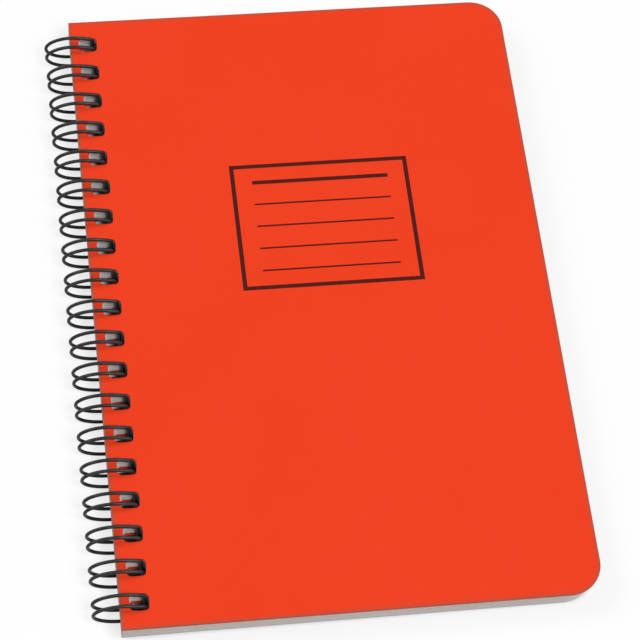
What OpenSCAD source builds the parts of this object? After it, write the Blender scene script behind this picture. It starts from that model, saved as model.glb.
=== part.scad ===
// Side-bound pocket notebook with a twin-loop wire binding.
// X runs from the wire loops to the open edge of the pages, Y up the page and Z out of the front cover.
// The origin is in the middle of the outer box, on the surface that the notebook lies on.

/* [Covers] */
// Width of each cover, from the bound edge to the open edge
cover_w = 117.5; // [80:0.5:220]
// Height of each cover, along the bound edge
cover_h = 177.8; // [100:0.1:188]
// Thickness of each plastic cover
cover_t = 0.5; // [0.3:0.05:0.8]
// Radius of the two rounded corners at the open edge
corner_r = 8.5; // [1:0.5:12]

/* [Pages] */
// Thickness of the closed block of pages
pages_t = 3.8; // [2:0.1:4.5]
// How far the covers stand out past the pages at the open edge
overhang = 1.5; // [0:0.1:3]

/* [Punched holes] */
// Strip of sheet left between the bound edge and the holes
hole_margin = 2.3; // [2.1:0.05:3]
// Length of a hole across the bound edge
hole_l = 4.8; // [4.6:0.05:6]
// Width of a hole along the bound edge
hole_w = 4.4; // [4.2:0.05:5]
// Radius of the hole corners
hole_r = 1.2; // [0.3:0.05:1.3]
// How far the middle of the row of holes lies above the middle of the bound edge
row_shift = -0.3; // [-1:0.1:1]

/* [Wire binding] */
// Distance from one loop to the next
loop_pitch = 9.07; // [8.8:0.01:12]
// Least distance from the ends of the bound edge to the middle of a loop
end_margin = 6; // [4.5:0.1:12]
// Diameter of the coated wire
wire_d = 0.9; // [0.7:0.05:0.95]
// Distance between the two wires of a loop, centre to centre
strand_space = 2.96; // [2.4:0.02:3]
// Clear space between the loops and the edges of the covers as these turn
turn_gap = 0.1; // [0.05:0.01:0.5]
// How far the wire centres stand out past the bound edge
loop_reach = 6.4; // [5:0.1:8]
// How far in from the bound edge the wire turns from loop to loop, under the pages
loop_seat = 6.1; // [5.2:0.05:6.3]
// How far in from the bound edge the wires come down through the holes to their closed tips
tip_seat = 6.2; // [5.5:0.05:6.4]
// Slope of the wires over the cover, from the top of a loop down to its hole, in degrees
top_slope = 14; // [0:1:18]
// Radius at which a wire turns down into its hole
shoulder_r = 1; // [0.7:0.05:1.6]
// Where the rounded nose of a loop begins, in from the bound edge
nose_start = 0.4; // [0:0.1:2]
// Clear space above and below the closed ends of the loops, between pages and back cover
seam_play = 0.05; // [0.02:0.01:0.2]
// Radius at which the wire turns from a loop to the next one
link_r = 0.9; // [0.7:0.05:1.1]
// Gap that the closed loop tips keep above the links
tip_gap = 0.15; // [0.1:0.01:0.5]
// Length of the cut end left at the first and at the last loop
end_stub = 0.8; // [0.3:0.1:1.5]

/* [Cover print] */
// Width of the printed title panel
print_w = 47; // [20:1:70]
// Height of the printed title panel
print_h = 38; // [20:1:70]
// How far the middle of the panel lies from the middle of the cover, towards the open edge
print_x = 3.25; // [-10:0.25:20]
// How far the middle of the panel lies above the middle of the cover
print_y = 21.1; // [-30:0.1:50]
// Width of the panel's frame line
frame_line = 1.1; // [0.4:0.1:2]
// Width of the thin ruled lines
rule_line = 0.45; // [0.2:0.05:1]
// Space between frame and ruled lines
print_gap = 4.5; // [2:0.5:8]
// Number of ruled lines
rule_count = 4; // [1:1:6]
// Thickness of the ink
ink_t = 0.05; // [0.03:0.01:0.1]

/* [Hidden] */
$fn = 48;
overshoot = 1;

// As many loops as the bound edge has room for
loop_count = floor((cover_h - 2 * end_margin) / loop_pitch) + 1;
first_loop_y = row_shift - (loop_count - 1) * loop_pitch / 2;

// Width of the pages
page_w = cover_w - overhang;

// Room between the last page and the back cover at the holes, where the loops are closed
seam_gap = wire_d + 2 * seam_play;
// The same room at the bound edge, since the pages lean on the back cover at their open edge
edge_gap = seam_gap * page_w / (page_w - loop_seat);
lift_angle = atan(edge_gap / page_w);

// Half the height of a loop between wire centres, so that the strip beside the holes turns inside it
stack_h = pages_t + edge_gap + 2 * cover_t;
half_h = norm([hole_margin, stack_h / 2]) + turn_gap + wire_d / 2;

// Box of the whole notebook, centred on the origin in X
spine_reach = loop_reach + wire_d / 2;
edge_x = (spine_reach - cover_w) / 2;

// Heights above the surface that the loops lie on. The covers hang a little below the middle of the loops.
sag = 0.075;
loop_mid_z = half_h + wire_d / 2;
back_z = loop_mid_z - stack_h / 2 - sag;
pages_z = back_z + cover_t;
seam_z = pages_z + seam_gap / 2 - loop_mid_z;

// Curves of one loop, measured from its middle
nose_w = loop_reach + nose_start;
bend_r = half_h + seam_z - link_r;
tip_r = strand_space / 2;
tip_z = seam_z + tip_gap + tip_r;
link_z = seam_z - link_r;

// Where the rounded nose goes over into the slope, as an angle round the nose
nose_end = atan2(half_h, nose_w * tan(top_slope));
// Height of the middle of the shoulder's curve, which touches the slope
slope_reach = nose_start * sin(top_slope) + norm([nose_w * sin(top_slope), half_h * cos(top_slope)]);
shoulder_z = (slope_reach - shoulder_r - (tip_seat - shoulder_r) * sin(top_slope)) / cos(top_slope);

// Steps along the curves of the wire and sides of its section
nose_steps = 10;
bend_steps = 3;
tip_steps = 5;
link_steps = 3;
wire_sides = 6;

// Outline of a sheet: square at the bound edge, rounded at the open edge
module sheet_outline(width) {
    translate([0, -cover_h / 2])
        square([width - corner_r, cover_h]);
    translate([0, corner_r - cover_h / 2])
        square([width, cover_h - 2 * corner_r]);
    for (side = [-1, 1])
        translate([width - corner_r, side * (cover_h / 2 - corner_r)])
            circle(r = corner_r);
}

// Outline of one punched hole
module hole_outline() {
    translate([hole_margin, hole_r - hole_w / 2])
        square([hole_l, hole_w - 2 * hole_r]);
    translate([hole_margin + hole_r, -hole_w / 2])
        square([hole_l - 2 * hole_r, hole_w]);
    for (x = [hole_margin + hole_r, hole_margin + hole_l - hole_r])
        for (y = [hole_r - hole_w / 2, hole_w / 2 - hole_r])
            translate([x, y])
                circle(r = hole_r);
}

// A punched sheet of any width and thickness, with the bound edge at X = 0 and the lower face at Z = 0
module punched_sheet(width, thickness) {
    difference() {
        linear_extrude(thickness)
            sheet_outline(width);
        for (i = [0 : loop_count - 1])
            translate([0, first_loop_y + i * loop_pitch, -overshoot])
                linear_extrude(thickness + 2 * overshoot)
                    hole_outline();
    }
}

// Leans what lies on the back cover on the open edge of the pages, a given height above the back cover
module lean(height) {
    translate([edge_x + page_w, 0, pages_z])
        rotate([0, lift_angle, 0])
            translate([-page_w, 0, height])
                children();
}

// Points of a loop's outline from its link to its tip, each [x, z, outward x, outward z]
function bend_points(centre_x, centre_z, radius, from, to) = [
    for (i = [0 : bend_steps])
        let (a = from + (to - from) * i / bend_steps)
        [centre_x + radius * cos(a), centre_z + radius * sin(a), cos(a), sin(a)]
];

function nose_points() = [
    for (i = [1 : nose_steps])
        let (a = 270 - (270 - nose_end) * i / nose_steps)
        let (slope = norm([half_h * cos(a), nose_w * sin(a)]))
        [nose_start + nose_w * cos(a), half_h * sin(a), half_h * cos(a) / slope, nose_w * sin(a) / slope]
];

function strand_outline() = concat(
    bend_points(loop_seat - bend_r, link_z, bend_r, 0, -90),
    [[nose_start, -half_h, 0, -1]],
    nose_points(),
    bend_points(tip_seat - shoulder_r, shoulder_z, shoulder_r, 90 - top_slope, 0),
    [[tip_seat, tip_z, 1, 0]]
);

// Reverses a list
function reversed(list) = [for (i = [len(list) - 1 : -1 : 0]) list[i]];

// Cross-section of the wire at a point, from its centre and its two section axes
function section(centre, u, v) = [
    for (k = [0 : wire_sides - 1])
        let (a = 90 + 360 * k / wire_sides)
        centre + wire_d / 2 * (cos(a) * u + sin(a) * v)
];

// Sections of one strand in the plane at y, where side is 1 towards the tip and -1 back from it
function strand_sections(y, side) =
    let (outline = strand_outline())
    [
        for (p = side > 0 ? outline : reversed(outline))
            section([edge_x + p[0], y, loop_mid_z + p[1]], [0, side, 0], [p[2], 0, p[3]])
    ];

// Sections of a turn along the holes, about the point [x, y, z], from one direction to another
function turn_sections(x, y, z, radius, from, to, steps) = [
    for (i = [1 : steps - 1])
        let (a = from + (to - from) * i / steps)
        turn_section(x, y, z, radius, a, from > to ? -1 : 1)
];

function turn_section(x, y, z, radius, a, side) =
    section(
        [edge_x + x, y + radius * cos(a), loop_mid_z + z + radius * sin(a)],
        side * [0, -cos(a), -sin(a)],
        [1, 0, 0]
    );

// Sections of one loop, from the link before it to the link after it
function loop_sections(y) =
    let (near_y = y - tip_r)
    let (far_y = y + tip_r)
    concat(
        [turn_section(loop_seat, near_y - link_r, link_z, link_r, 90, -1)],
        turn_sections(loop_seat, near_y - link_r, link_z, link_r, 90, 0, link_steps),
        strand_sections(near_y, 1),
        turn_sections(tip_seat, y, tip_z, tip_r, 180, 360, tip_steps),
        strand_sections(far_y, -1),
        turn_sections(loop_seat, far_y + link_r, link_z, link_r, 180, 90, link_steps),
        [turn_section(loop_seat, far_y + link_r, link_z, link_r, 90, -1)]
    );

// One cut end of the wire, in line with the links
function stub_section(y) =
    section([edge_x + loop_seat, y, loop_mid_z + seam_z], [0, 0, 1], [1, 0, 0]);

function wire_sections() =
    let (end_y = row_shift - first_loop_y + tip_r + link_r + end_stub)
    concat(
        [stub_section(row_shift - end_y)],
        [
            for (i = [0 : loop_count - 1])
                each loop_sections(first_loop_y + i * loop_pitch)
        ],
        [stub_section(row_shift + end_y)]
    );

// Skins a row of sections into one closed body
module skin(sections) {
    n = wire_sides;
    last = len(sections) - 1;
    points = [for (ring = sections) each ring];
    start_cap = [[for (k = [0 : n - 1]) k]];
    end_cap = [[for (k = [n - 1 : -1 : 0]) last * n + k]];
    sides = [
        for (i = [0 : last - 1])
            for (k = [0 : n - 1])
                let (a = i * n + k)
                let (b = i * n + (k + 1) % n)
                each [[a, a + n, b + n], [a, b + n, b]]
    ];
    polyhedron(points = points, faces = concat(start_cap, sides, end_cap), convexity = 10);
}

// Front cover, lying on the pages
module front_cover() {
    color([0.94, 0.27, 0.14])
        lean(pages_t)
            punched_sheet(cover_w, cover_t);
}

// Plain title panel printed on the front cover: a frame, a bar and ruled lines
module cover_print() {
    inner_w = print_w - 2 * (frame_line + print_gap);
    rule_step = (print_h - 2 * (frame_line + print_gap)) / rule_count;
    color([0.26, 0.09, 0.07])
        lean(pages_t + cover_t)
            translate([cover_w / 2 + print_x, print_y, 0])
                linear_extrude(ink_t) {
                    difference() {
                        square([print_w, print_h], center = true);
                        square([print_w - 2 * frame_line, print_h - 2 * frame_line], center = true);
                    }
                    for (i = [0 : rule_count])
                        translate([0, print_h / 2 - frame_line - print_gap - i * rule_step])
                            square([inner_w, i == 0 ? frame_line : rule_line], center = true);
                }
}

// Closed block of pages
module pages() {
    color([0.88, 0.88, 0.86])
        lean(0)
            punched_sheet(page_w, pages_t);
}

// Wire bent into twin loops and closed between the last page and the back cover
module wire_binding() {
    color([0.13, 0.13, 0.14])
        skin(wire_sections());
}

// Back cover, lying flat over the loops
module back_cover() {
    color([0.94, 0.27, 0.14])
        translate([edge_x, 0, back_z])
            punched_sheet(cover_w, cover_t);
}

front_cover();
cover_print();
pages();
wire_binding();
back_cover();
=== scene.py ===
"""Looks of a wire-bound notebook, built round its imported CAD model.

The object's sizes are in millimetres, and MM turns them into metres. The stage and the noise scales are in metres.
"""

import math
import random

import bpy
from mathutils import Matrix, Vector
from mathutils.geometry import tessellate_polygon


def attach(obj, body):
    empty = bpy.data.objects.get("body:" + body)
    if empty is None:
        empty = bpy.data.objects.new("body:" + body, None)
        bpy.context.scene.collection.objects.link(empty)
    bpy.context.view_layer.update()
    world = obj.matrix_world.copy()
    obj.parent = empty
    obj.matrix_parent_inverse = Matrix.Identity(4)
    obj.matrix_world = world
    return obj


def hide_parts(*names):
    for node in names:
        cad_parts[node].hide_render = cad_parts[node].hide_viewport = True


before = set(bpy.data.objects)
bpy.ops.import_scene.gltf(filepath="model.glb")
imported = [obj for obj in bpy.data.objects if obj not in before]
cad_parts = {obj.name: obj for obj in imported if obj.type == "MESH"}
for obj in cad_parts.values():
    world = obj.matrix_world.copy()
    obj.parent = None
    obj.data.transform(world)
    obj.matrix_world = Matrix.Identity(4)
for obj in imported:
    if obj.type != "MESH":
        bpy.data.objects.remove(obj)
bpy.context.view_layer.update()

MM = 0.001

# Covers. The back one is cut short at its foot and as narrow as the pages, because the photo shows none of it there.
COVER_W, COVER_H, COVER_T = 117.5, 177.8, 0.5
CORNER_R, RIM_R = 8.5, 0.12
BACK_TRIM = 0.6

# Pages. Each sheet fills part of its share of the block, is drawn back a little and lies out of line by its play.
PAGES_T, OVERHANG = 3.8, 1.5
SHEETS, SHEET_FILL, SHEET_INSET = 40, 0.9, 0.08
SHEET_PLAY_X, SHEET_PLAY_Y = 0.05, 0.06

# Ruled lines, counted from a level well below the sheets. A line takes up a share of its step.
RULE_STEP, RULE_SHARE, RULE_LEVEL = 7.1, 0.035, -500.0
RULES_MID_Y, RULES_HALF_H = -6.0, 75.5
RULES_BOUND_MARGIN, RULES_OPEN_MARGIN = 11.5, 1.0

# Punched holes
HOLE_MARGIN, HOLE_L, HOLE_W, HOLE_R = 2.3, 4.8, 4.4, 1.2
ROW_SHIFT = -0.3

# Wire
PITCH, END_MARGIN = 9.07, 6.0
WIRE_D, STRAND_SPACE = 0.9, 2.96
REACH, SEAT, TIP_SEAT, NOSE_START = 6.4, 6.1, 6.2, 0.4
TOP_SLOPE, SHOULDER_R = math.radians(14), 1.0
LINK_R, TIP_GAP, END_STUB = 0.9, 0.15, 0.8
TURN_GAP, SAG, SEAM_PLAY = 0.1, 0.075, 0.05

# Steps along round stretches, and sides of the wire
CORNER_STEPS, HOLE_STEPS, RIM_STEPS = 20, 5, 4
NOSE_STEPS, BEND_STEPS, TIP_STEPS, LINK_STEPS = 34, 8, 14, 8
WIRE_SIDES = 14

# Width of the strip of painted shade along the edges of the covers
EDGE_SHADE_STRIP = 1.3

# The floor's glow, and where it sets in and is full; inward of these the glow is masked off, a painted shadow under
# the notebook. Both places are distances from the covers' outline, below zero inside.
FLOOR_GLOW = 0.745
GLOW_FROM, GLOW_FULL = -4.5, -0.5

# Worked out from the sizes above
LOOPS = int((COVER_H - 2 * END_MARGIN) / PITCH) + 1
FIRST_Y = ROW_SHIFT - (LOOPS - 1) * PITCH / 2
PAGES_W = COVER_W - OVERHANG
SEAM_GAP = WIRE_D + 2 * SEAM_PLAY
EDGE_GAP = SEAM_GAP * PAGES_W / (PAGES_W - SEAT)
LIFT = math.atan(EDGE_GAP / PAGES_W)
STACK_H = PAGES_T + EDGE_GAP + 2 * COVER_T
HALF_H = math.hypot(HOLE_MARGIN, STACK_H / 2) + TURN_GAP + WIRE_D / 2
EDGE_X = (REACH + WIRE_D / 2 - COVER_W) / 2
MID_Z = HALF_H + WIRE_D / 2
BACK_Z = MID_Z - STACK_H / 2 - SAG
PAGES_Z = BACK_Z + COVER_T
SEAM_Z = PAGES_Z + SEAM_GAP / 2 - MID_Z
NOSE_W = REACH + NOSE_START
BEND_R = HALF_H + SEAM_Z - LINK_R
TIP_R = STRAND_SPACE / 2
TIP_Z = SEAM_Z + TIP_GAP + TIP_R
LINK_Z = SEAM_Z - LINK_R
NOSE_END = math.atan2(HALF_H, NOSE_W * math.tan(TOP_SLOPE))
SLOPE_SIN, SLOPE_COS = math.sin(TOP_SLOPE), math.cos(TOP_SLOPE)
SLOPE_REACH = NOSE_START * SLOPE_SIN + math.hypot(NOSE_W * SLOPE_SIN, HALF_H * SLOPE_COS)
SHOULDER_Z = (SLOPE_REACH - SHOULDER_R - (TIP_SEAT - SHOULDER_R) * SLOPE_SIN) / SLOPE_COS

# Camera, fitted to the front cover and measured from its lower corner at the bound edge
CAMERA_AT = (-27.801, -261.448, 604.050)
CAMERA_RIGHT = (0.990483, -0.116780, 0.072848)
CAMERA_UP = (0.065182, 0.864138, 0.499016)
CAMERA_LENS = 154.7


# Meshes


def arc(cx, cy, r, start, end, steps):
    """Points of a corner from one angle to another, in degrees."""
    turns = [math.radians(start + (end - start) * i / steps) for i in range(steps + 1)]
    return [(cx + r * math.cos(a), cy + r * math.sin(a)) for a in turns]


def sheet_outline(width, inset, trim):
    """Outline of a sheet, square at the bound edge and rounded at the open edge. Trim cuts its foot short."""
    half = COVER_H / 2
    x = width - CORNER_R
    y = half - CORNER_R
    r = CORNER_R - inset
    return (
        [(inset, inset + trim - half)]
        + arc(x, trim - y, r, -90, 0, CORNER_STEPS)
        + arc(x, y, r, 0, 90, CORNER_STEPS)
        + [(inset, half - inset)]
    )


def hole_outline(y, grow):
    """Outline of one punched hole, made wider all round by grow."""
    x0, x1 = HOLE_MARGIN + HOLE_R, HOLE_MARGIN + HOLE_L - HOLE_R
    up = HOLE_W / 2 - HOLE_R
    r = HOLE_R + grow
    return (
        arc(x0, y - up, r, 270, 180, HOLE_STEPS)
        + arc(x0, y + up, r, 180, 90, HOLE_STEPS)
        + arc(x1, y + up, r, 90, 0, HOLE_STEPS)
        + arc(x1, y - up, r, 0, -90, HOLE_STEPS)
    )


def sheet_rings(width, inset, trim):
    """The outline and every hole, all drawn back from their edges by inset."""
    holes = [hole_outline(FIRST_Y + i * PITCH, inset) for i in range(LOOPS)]
    return [sheet_outline(width, inset, trim)] + holes


def add_sheet(verts, faces, smooth, width, z, thickness, rim=0.0, inset=0.0, trim=0.0, shift=(0.0, 0.0)):
    """Adds one punched sheet to the lists of a mesh. Its edges are rounded with radius rim, or else sharp."""
    profile = [(inset + rim, z)]
    if rim:
        quarter = [math.pi / 2 * i / RIM_STEPS for i in range(1, RIM_STEPS + 1)]
        profile += [(inset + rim - rim * math.sin(a), z + rim - rim * math.cos(a)) for a in quarter]
        top = z + thickness - rim
        profile += [(inset + rim - rim * math.cos(a), top + rim * math.sin(a)) for a in [0.0] + quarter]
    else:
        profile += [(inset, z + thickness)]
    levels = []
    for ring_inset, ring_z in profile:
        rings = []
        for ring in sheet_rings(width, ring_inset, trim):
            rings.append((len(verts), len(ring)))
            verts += [(x + shift[0], y + shift[1], ring_z) for x, y in ring]
        levels.append(rings)
    for low, high in zip(levels, levels[1:]):
        for (a, n), (b, _) in zip(low, high):
            for i in range(n):
                j = (i + 1) % n
                faces.append((a + i, a + j, b + j, b + i))
                smooth.append(rim > 0)
    rings = sheet_rings(width, inset + rim, trim)
    triangles = tessellate_polygon([[Vector((x, y, 0.0)) for x, y in ring] for ring in rings])
    flat = [p for ring in rings for p in ring]
    bottom_start = levels[0][0][0]
    top_start = levels[-1][0][0]
    for tri in triangles:
        (ax, ay), (bx, by), (cx, cy) = (flat[i] for i in tri)
        up = (bx - ax) * (cy - ay) - (by - ay) * (cx - ax) > 0
        a, b, c = tri if up else reversed(tri)
        faces.append((top_start + a, top_start + b, top_start + c))
        faces.append((bottom_start + c, bottom_start + b, bottom_start + a))
        smooth += [False, False]


def add_piece(name, verts, faces, smooth, place, body, node, material):
    """Makes one piece from the lists of a mesh, puts it in place, ties it to its body and hides the CAD node that it
    stands in for.
    """
    mesh = bpy.data.meshes.new(name)
    scale = Matrix.Scale(MM, 4)
    mesh.from_pydata([scale @ place @ Vector(v) for v in verts], [], faces)
    mesh.polygons.foreach_set("use_smooth", smooth)
    mesh.update()
    mesh.materials.append(material)
    piece = bpy.data.objects.new(name, mesh)
    bpy.context.scene.collection.objects.link(piece)
    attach(piece, body)
    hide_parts(node)


def lean(height):
    """Place of what lies on the back cover on the pages' open edge, a given height above the back cover."""
    hinge = Matrix.Translation((EDGE_X + PAGES_W, 0, PAGES_Z))
    return hinge @ Matrix.Rotation(LIFT, 4, "Y") @ Matrix.Translation((-PAGES_W, 0, height))


def add_cover(name, width, place, body, material, trim=0.0):
    """A plastic cover with softly rounded edges, also round its holes."""
    verts, faces, smooth = [], [], []
    add_sheet(verts, faces, smooth, width, 0.0, COVER_T, rim=RIM_R, trim=trim)
    add_piece(name + "_sheet", verts, faces, smooth, place, body, name, material)


def add_pages(material):
    """The block of pages as single sheets, each a little out of line with the next."""
    rng = random.Random(7)
    verts, faces, smooth = [], [], []
    step = PAGES_T / SHEETS
    for i in range(SHEETS):
        shift = (rng.uniform(-SHEET_PLAY_X, SHEET_PLAY_X), rng.uniform(-SHEET_PLAY_Y, SHEET_PLAY_Y))
        add_sheet(verts, faces, smooth, PAGES_W, i * step, step * SHEET_FILL, inset=SHEET_INSET, shift=shift)
    add_piece("page_sheets", verts, faces, smooth, lean(0.0), "bound_block", "pages", material)


def strand_outline():
    """Points of a loop from its link to its tip, each with the direction away from the loop's inside."""
    points = []

    def bend(cx, cz, r, start, end):
        for i in range(BEND_STEPS + 1):
            a = start + (end - start) * i / BEND_STEPS
            c, s = math.cos(a), math.sin(a)
            points.append((cx + r * c, cz + r * s, c, s))

    bend(SEAT - BEND_R, LINK_Z, BEND_R, 0.0, -math.pi / 2)
    points.append((NOSE_START, -HALF_H, 0.0, -1.0))
    bottom = 1.5 * math.pi
    for i in range(1, NOSE_STEPS + 1):
        a = bottom - (bottom - NOSE_END) * i / NOSE_STEPS
        c, s = math.cos(a), math.sin(a)
        slope = math.hypot(HALF_H * c, NOSE_W * s)
        points.append((NOSE_START + NOSE_W * c, HALF_H * s, HALF_H * c / slope, NOSE_W * s / slope))
    bend(TIP_SEAT - SHOULDER_R, SHOULDER_Z, SHOULDER_R, math.pi / 2 - TOP_SLOPE, 0.0)
    return points


def wire_sections():
    """Centre and two section axes at every step of the wire."""
    sections = []
    forward = Vector((1, 0, 0))

    def turn(x, y, z, r, start, end, steps, side):
        for i in range(steps + 1):
            a = math.radians(start + (end - start) * i / steps)
            c, s = math.cos(a), math.sin(a)
            centre = Vector((EDGE_X + x, y + r * c, MID_Z + z + r * s))
            sections.append((centre, side * Vector((0, -c, -s)), forward))

    def strand(y, side):
        outline = strand_outline()
        for px, pz, vx, vz in outline[1:] if side > 0 else reversed(outline[1:]):
            centre = Vector((EDGE_X + px, y, MID_Z + pz))
            sections.append((centre, Vector((0, side, 0)), Vector((vx, 0, vz))))

    end_y = ROW_SHIFT - FIRST_Y + TIP_R + LINK_R + END_STUB
    stub = Vector((0, 0, 1))
    sections.append((Vector((EDGE_X + SEAT, ROW_SHIFT - end_y, MID_Z + SEAM_Z)), stub, forward))
    for i in range(LOOPS):
        y = FIRST_Y + i * PITCH
        turn(SEAT, y - TIP_R - LINK_R, LINK_Z, LINK_R, 90, 0, LINK_STEPS, -1)
        strand(y - TIP_R, 1)
        turn(TIP_SEAT, y, TIP_Z, TIP_R, 180, 360, TIP_STEPS, 1)
        strand(y + TIP_R, -1)
        turn(SEAT, y + TIP_R + LINK_R, LINK_Z, LINK_R, 180, 90, LINK_STEPS, -1)
    sections.append((Vector((EDGE_X + SEAT, ROW_SHIFT + end_y, MID_Z + SEAM_Z)), stub, forward))
    return sections


def add_wire(material):
    """The wire as one smooth round body."""
    verts, faces, smooth = [], [], []
    sections = wire_sections()
    ring = [2 * math.pi * k / WIRE_SIDES + math.pi / 2 for k in range(WIRE_SIDES)]
    for centre, u, v in sections:
        verts += [centre + WIRE_D / 2 * (math.cos(a) * u + math.sin(a) * v) for a in ring]
    for i in range(len(sections) - 1):
        for k in range(WIRE_SIDES):
            a = i * WIRE_SIDES + k
            b = i * WIRE_SIDES + (k + 1) % WIRE_SIDES
            faces.append((a, a + WIRE_SIDES, b + WIRE_SIDES, b))
    smooth += [True] * len(faces)
    faces.append(tuple(range(WIRE_SIDES)))
    faces.append(tuple(range(len(verts) - 1, len(verts) - WIRE_SIDES - 1, -1)))
    smooth += [False, False]
    place = Matrix.Identity(4)
    add_piece("wire_loops", verts, faces, smooth, place, "bound_block", "wire_binding", material)


# Materials


class Shader:
    """A material's node tree, with short calls to add nodes and link them."""

    def __init__(self, name):
        self.material = bpy.data.materials.new(name)
        self.material.use_nodes = True
        self.tree = self.material.node_tree
        self.tree.nodes.clear()
        self.output = self.tree.nodes.new("ShaderNodeOutputMaterial")
        self.place = self.tree.nodes.new("ShaderNodeTexCoord").outputs["Object"]

    def node(self, kind, settings=None, **inputs):
        """Adds a node, sets its properties, and sets or links its inputs by name."""
        node = self.tree.nodes.new("ShaderNode" + kind)
        for key, value in (settings or {}).items():
            setattr(node, key, value)
        for key, value in inputs.items():
            socket = node.inputs[int(key[1:]) if key[1:].isdigit() else key.replace("_", " ")]
            if isinstance(value, bpy.types.NodeSocket):
                self.tree.links.new(value, socket)
            else:
                socket.default_value = value
        return node

    def noise(self, scale, detail=3.0, roughness=0.55):
        """Cloudy noise, with scale in blotches a metre."""
        inputs = {"Scale": scale, "Detail": detail, "Roughness": roughness}
        return self.node("TexNoise", Vector=self.place, **inputs).outputs["Fac"]

    def spread(self, value, low, high, to_low=0.0, to_high=1.0):
        """Stretches a value from one range to another, and holds it there."""
        return self.node("MapRange", _0=value, _1=low, _2=high, _3=to_low, _4=to_high).outputs[0]

    def math(self, operation, a, b=0.0):
        """The result of one sum on one or two values."""
        return self.node("Math", {"operation": operation}, _0=a, _1=b).outputs[0]

    def mix(self, factor, a, b):
        """Colour a where factor is 0 and b where it is 1."""
        return self.node("Mix", {"data_type": "RGBA"}, _0=factor, _6=a, _7=b).outputs[2]

    def bump(self, height, strength, distance, normal=None):
        """A normal that leans with a height, on top of another normal where one is given."""
        inputs = {"Height": height, "Strength": strength, "Distance": distance}
        if normal:
            inputs["Normal"] = normal
        return self.node("Bump", **inputs).outputs["Normal"]

    def outside(self):
        """How far a point lies outside the outline of the closed covers, in metres. Inside, it is below zero."""
        at = self.node("SeparateXYZ", _0=self.place).outputs
        corner_x, corner_y = EDGE_X + COVER_W - CORNER_R, COVER_H / 2 - CORNER_R
        beside = self.math("MAXIMUM", self.math("SUBTRACT", at[0], corner_x * MM), 0.0)
        beyond = self.math("MAXIMUM", self.math("SUBTRACT", self.math("ABSOLUTE", at[1]), corner_y * MM), 0.0)
        squares = self.math("ADD", self.math("POWER", beside, 2.0), self.math("POWER", beyond, 2.0))
        past_open = self.math("SUBTRACT", self.math("SQRT", squares), CORNER_R * MM)
        return self.math("MAXIMUM", past_open, self.math("SUBTRACT", EDGE_X * MM, at[0]))

    def finish(self, **inputs):
        """Ends the tree with one principled surface and hands back the material."""
        bsdf = self.node("BsdfPrincipled", **inputs)
        self.tree.links.new(bsdf.outputs[0], self.output.inputs[0])
        return self.material


def cover_plastic():
    """Orange-red plastic sheet with a fine matt grain, and painted shade that darkens it towards its cut edges."""
    s = Shader("orange_red_plastic")
    clouds = s.spread(s.noise(28.0, 2.0), 0.35, 0.65)
    specks = s.spread(s.noise(1400.0, 2.0), 0.3, 0.7)
    colour = s.mix(clouds, (0.855, 0.0460, 0.0080, 1), (0.865, 0.0480, 0.0095, 1))
    colour = s.mix(s.math("MULTIPLY", specks, 0.08), colour, (0.70, 0.03, 0.005, 1))
    # Painted shade: the colour darkens in a strip along the covers' cut edges.
    colour = s.mix(s.spread(s.outside(), -EDGE_SHADE_STRIP * MM, 0.0), colour, (0.53, 0.070, 0.032, 1))
    grain = s.noise(3800.0, 3.0, 0.6)
    wave = s.noise(14.0, 1.0)
    normal = s.bump(wave, 0.25, 0.0004)
    normal = s.bump(grain, 0.35, 0.00003, normal)
    rough = s.spread(s.noise(90.0, 4.0), 0.3, 0.7, 0.44, 0.54)
    return s.finish(Base_Color=colour, Roughness=rough, Normal=normal, Specular_IOR_Level=0.2)


def printing_ink():
    """Dark ink, a little uneven where it lies on the grain of the cover."""
    s = Shader("dark_ink")
    patches = s.spread(s.noise(900.0, 4.0, 0.7), 0.4, 0.75)
    colour = s.mix(s.math("MULTIPLY", patches, 0.35), (0.055, 0.004, 0.002, 1), (0.13, 0.010, 0.004, 1))
    normal = s.bump(s.noise(3800.0, 3.0, 0.6), 0.3, 0.00003)
    rough = s.spread(s.noise(600.0), 0.3, 0.7, 0.5, 0.62)
    return s.finish(Base_Color=colour, Roughness=rough, Normal=normal, Specular_IOR_Level=0.15)


def ruled_paper():
    """Off-white paper with fibres and thin ruled lines on the faces of the sheets."""
    s = Shader("ruled_paper")
    at = s.node("SeparateXYZ", _0=s.place).outputs
    fibres = s.spread(s.noise(2200.0, 5.0, 0.7), 0.3, 0.7)
    tone = s.spread(s.noise(45.0, 2.0), 0.35, 0.65)
    paper = s.mix(tone, (0.730, 0.680, 0.655, 1), (0.760, 0.710, 0.690, 1))
    paper = s.mix(s.math("MULTIPLY", fibres, 0.10), paper, (0.620, 0.575, 0.550, 1))
    rows = s.math("DIVIDE", s.math("SUBTRACT", at[1], RULE_LEVEL * MM), RULE_STEP * MM)
    on_row = s.math("LESS_THAN", s.math("FRACT", rows), RULE_SHARE)
    from_middle = s.math("ABSOLUTE", s.math("SUBTRACT", at[1], RULES_MID_Y * MM))
    in_height = s.math("LESS_THAN", from_middle, RULES_HALF_H * MM)
    past_margin = s.math("GREATER_THAN", at[0], (EDGE_X + RULES_BOUND_MARGIN) * MM)
    before_edge = s.math("LESS_THAN", at[0], (EDGE_X + PAGES_W - RULES_OPEN_MARGIN) * MM)
    in_width = s.math("MULTIPLY", past_margin, before_edge)
    ruled = s.math("MULTIPLY", s.math("MULTIPLY", on_row, in_height), in_width)
    colour = s.mix(s.math("MULTIPLY", ruled, 0.7), paper, (0.30, 0.36, 0.45, 1))
    normal = s.bump(s.noise(2600.0, 4.0, 0.65), 0.3, 0.00002)
    return s.finish(Base_Color=colour, Roughness=0.85, Normal=normal, Specular_IOR_Level=0.15)


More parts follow.
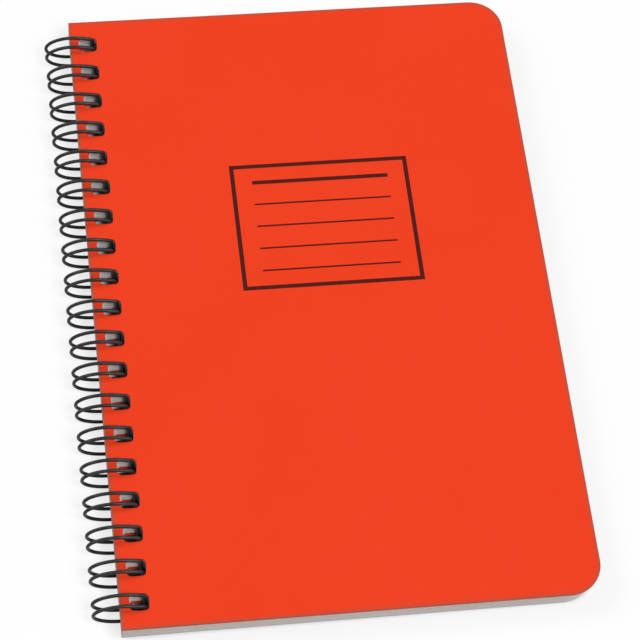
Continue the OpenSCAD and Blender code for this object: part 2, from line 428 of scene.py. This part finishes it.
def coated_wire():
    """Steel wire with a smooth black coat, dulled a little where it rubs."""
    s = Shader("black_coated_wire")
    wear = s.spread(s.noise(500.0, 4.0, 0.6), 0.45, 0.8)
    colour = s.mix(wear, (0.012, 0.0125, 0.0135, 1), (0.045, 0.046, 0.048, 1))
    rough = s.spread(s.noise(260.0, 3.0), 0.3, 0.7, 0.28, 0.44)
    normal = s.bump(s.noise(1800.0, 3.0), 0.15, 0.00003)
    return s.finish(Base_Color=colour, Roughness=rough, Normal=normal, Specular_IOR_Level=0.24)


def pale_floor():
    """White floor that lights the object's sides less than it shows to the camera, with its glow masked off below
    the notebook as a painted shadow.
    """
    s = Shader("pale_floor")
    tone = s.spread(s.noise(3.0, 1.0), 0.3, 0.7)
    lit = s.node("BsdfDiffuse", Color=s.mix(tone, (0.245, 0.245, 0.245, 1), (0.255, 0.255, 0.255, 1)))
    # Painted shadow: the glow fades out inside the covers' outline, so the floor is dark under the notebook.
    clear = s.spread(s.outside(), GLOW_FROM * MM, GLOW_FULL * MM, 0.0, FLOOR_GLOW)
    glow = s.node("Emission", Color=(1, 1, 1, 1), Strength=clear)
    shown = s.node("AddShader", _0=lit.outputs[0], _1=glow.outputs[0])
    lighting = s.node("BsdfDiffuse", Color=(0.12, 0.12, 0.12, 1))
    path = s.node("LightPath").outputs
    seen = s.math("MAXIMUM", path["Is Camera Ray"], path["Is Glossy Ray"])
    both = s.node("MixShader", _0=seen, _1=lighting.outputs[0], _2=shown.outputs[0])
    s.tree.links.new(both.outputs[0], s.output.inputs[0])
    return s.material


# The object

plastic = cover_plastic()
back_place = Matrix.Translation((EDGE_X, 0, BACK_Z))
add_cover("front_cover", COVER_W, lean(PAGES_T), "front_cover", plastic)
add_cover("back_cover", PAGES_W, back_place, "back_cover", plastic, trim=BACK_TRIM)
add_pages(ruled_paper())
add_wire(coated_wire())
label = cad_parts["cover_print"]
label.data.materials.clear()
label.data.materials.append(printing_ink())


# The stage


def add_floor():
    """A large flat square under the notebook."""
    mesh = bpy.data.meshes.new("floor")
    half = 3.0
    corners = [(-half, -half, 0), (half, -half, 0), (half, half, 0), (-half, half, 0)]
    mesh.from_pydata(corners, [], [(0, 1, 2, 3)])
    mesh.materials.append(pale_floor())
    floor = bpy.data.objects.new("floor", mesh)
    bpy.context.scene.collection.objects.link(floor)


def add_light(name, place, size, power):
    """A soft square light that looks at the notebook."""
    data = bpy.data.lights.new(name, "AREA")
    data.shape = "SQUARE"
    data.size = size
    data.energy = power
    light = bpy.data.objects.new(name, data)
    light.location = place
    light.rotation_euler = (-Vector(place)).to_track_quat("-Z", "Y").to_euler()
    bpy.context.scene.collection.objects.link(light)


def add_world(fill):
    """White all round to the camera and in reflections, and a weaker even light for the object."""
    world = bpy.data.worlds.new("studio")
    world.use_nodes = True
    tree = world.node_tree
    background = tree.nodes["Background"]
    path = tree.nodes.new("ShaderNodeLightPath").outputs
    seen = tree.nodes.new("ShaderNodeMath")
    seen.operation = "MAXIMUM"
    tree.links.new(path["Is Camera Ray"], seen.inputs[0])
    tree.links.new(path["Is Glossy Ray"], seen.inputs[1])
    strength = tree.nodes.new("ShaderNodeMapRange")
    strength.inputs[3].default_value = fill
    strength.inputs[4].default_value = 1.0
    tree.links.new(seen.outputs[0], strength.inputs[0])
    tree.links.new(strength.outputs[0], background.inputs["Strength"])
    background.inputs["Color"].default_value = (1, 1, 1, 1)
    bpy.context.scene.world = world


def add_camera():
    """The camera at the photograph's viewing angle."""
    data = bpy.data.cameras.new("camera")
    data.sensor_width = 36.0
    data.lens = CAMERA_LENS
    data.clip_start = 0.01
    data.clip_end = 20.0
    camera = bpy.data.objects.new("camera", data)
    right = Vector(CAMERA_RIGHT).normalized()
    up = Vector(CAMERA_UP).normalized()
    axes = Matrix((right, up, right.cross(up))).transposed().to_4x4()
    corner = lean(PAGES_T + COVER_T) @ Matrix.Translation((0, -COVER_H / 2, 0))
    place = corner @ Matrix.Translation(CAMERA_AT) @ axes
    place.translation *= MM
    camera.matrix_world = place
    bpy.context.scene.collection.objects.link(camera)
    bpy.context.scene.camera = camera


add_floor()
add_world(fill=0.22)
add_light("key", place=(2.0, -2.6, 5.0), size=2.8, power=241.0)
add_light("fill", place=(-3.2, 2.0, 3.0), size=2.4, power=96.0)
add_camera()
bpy.context.scene.view_settings.view_transform = "Standard"
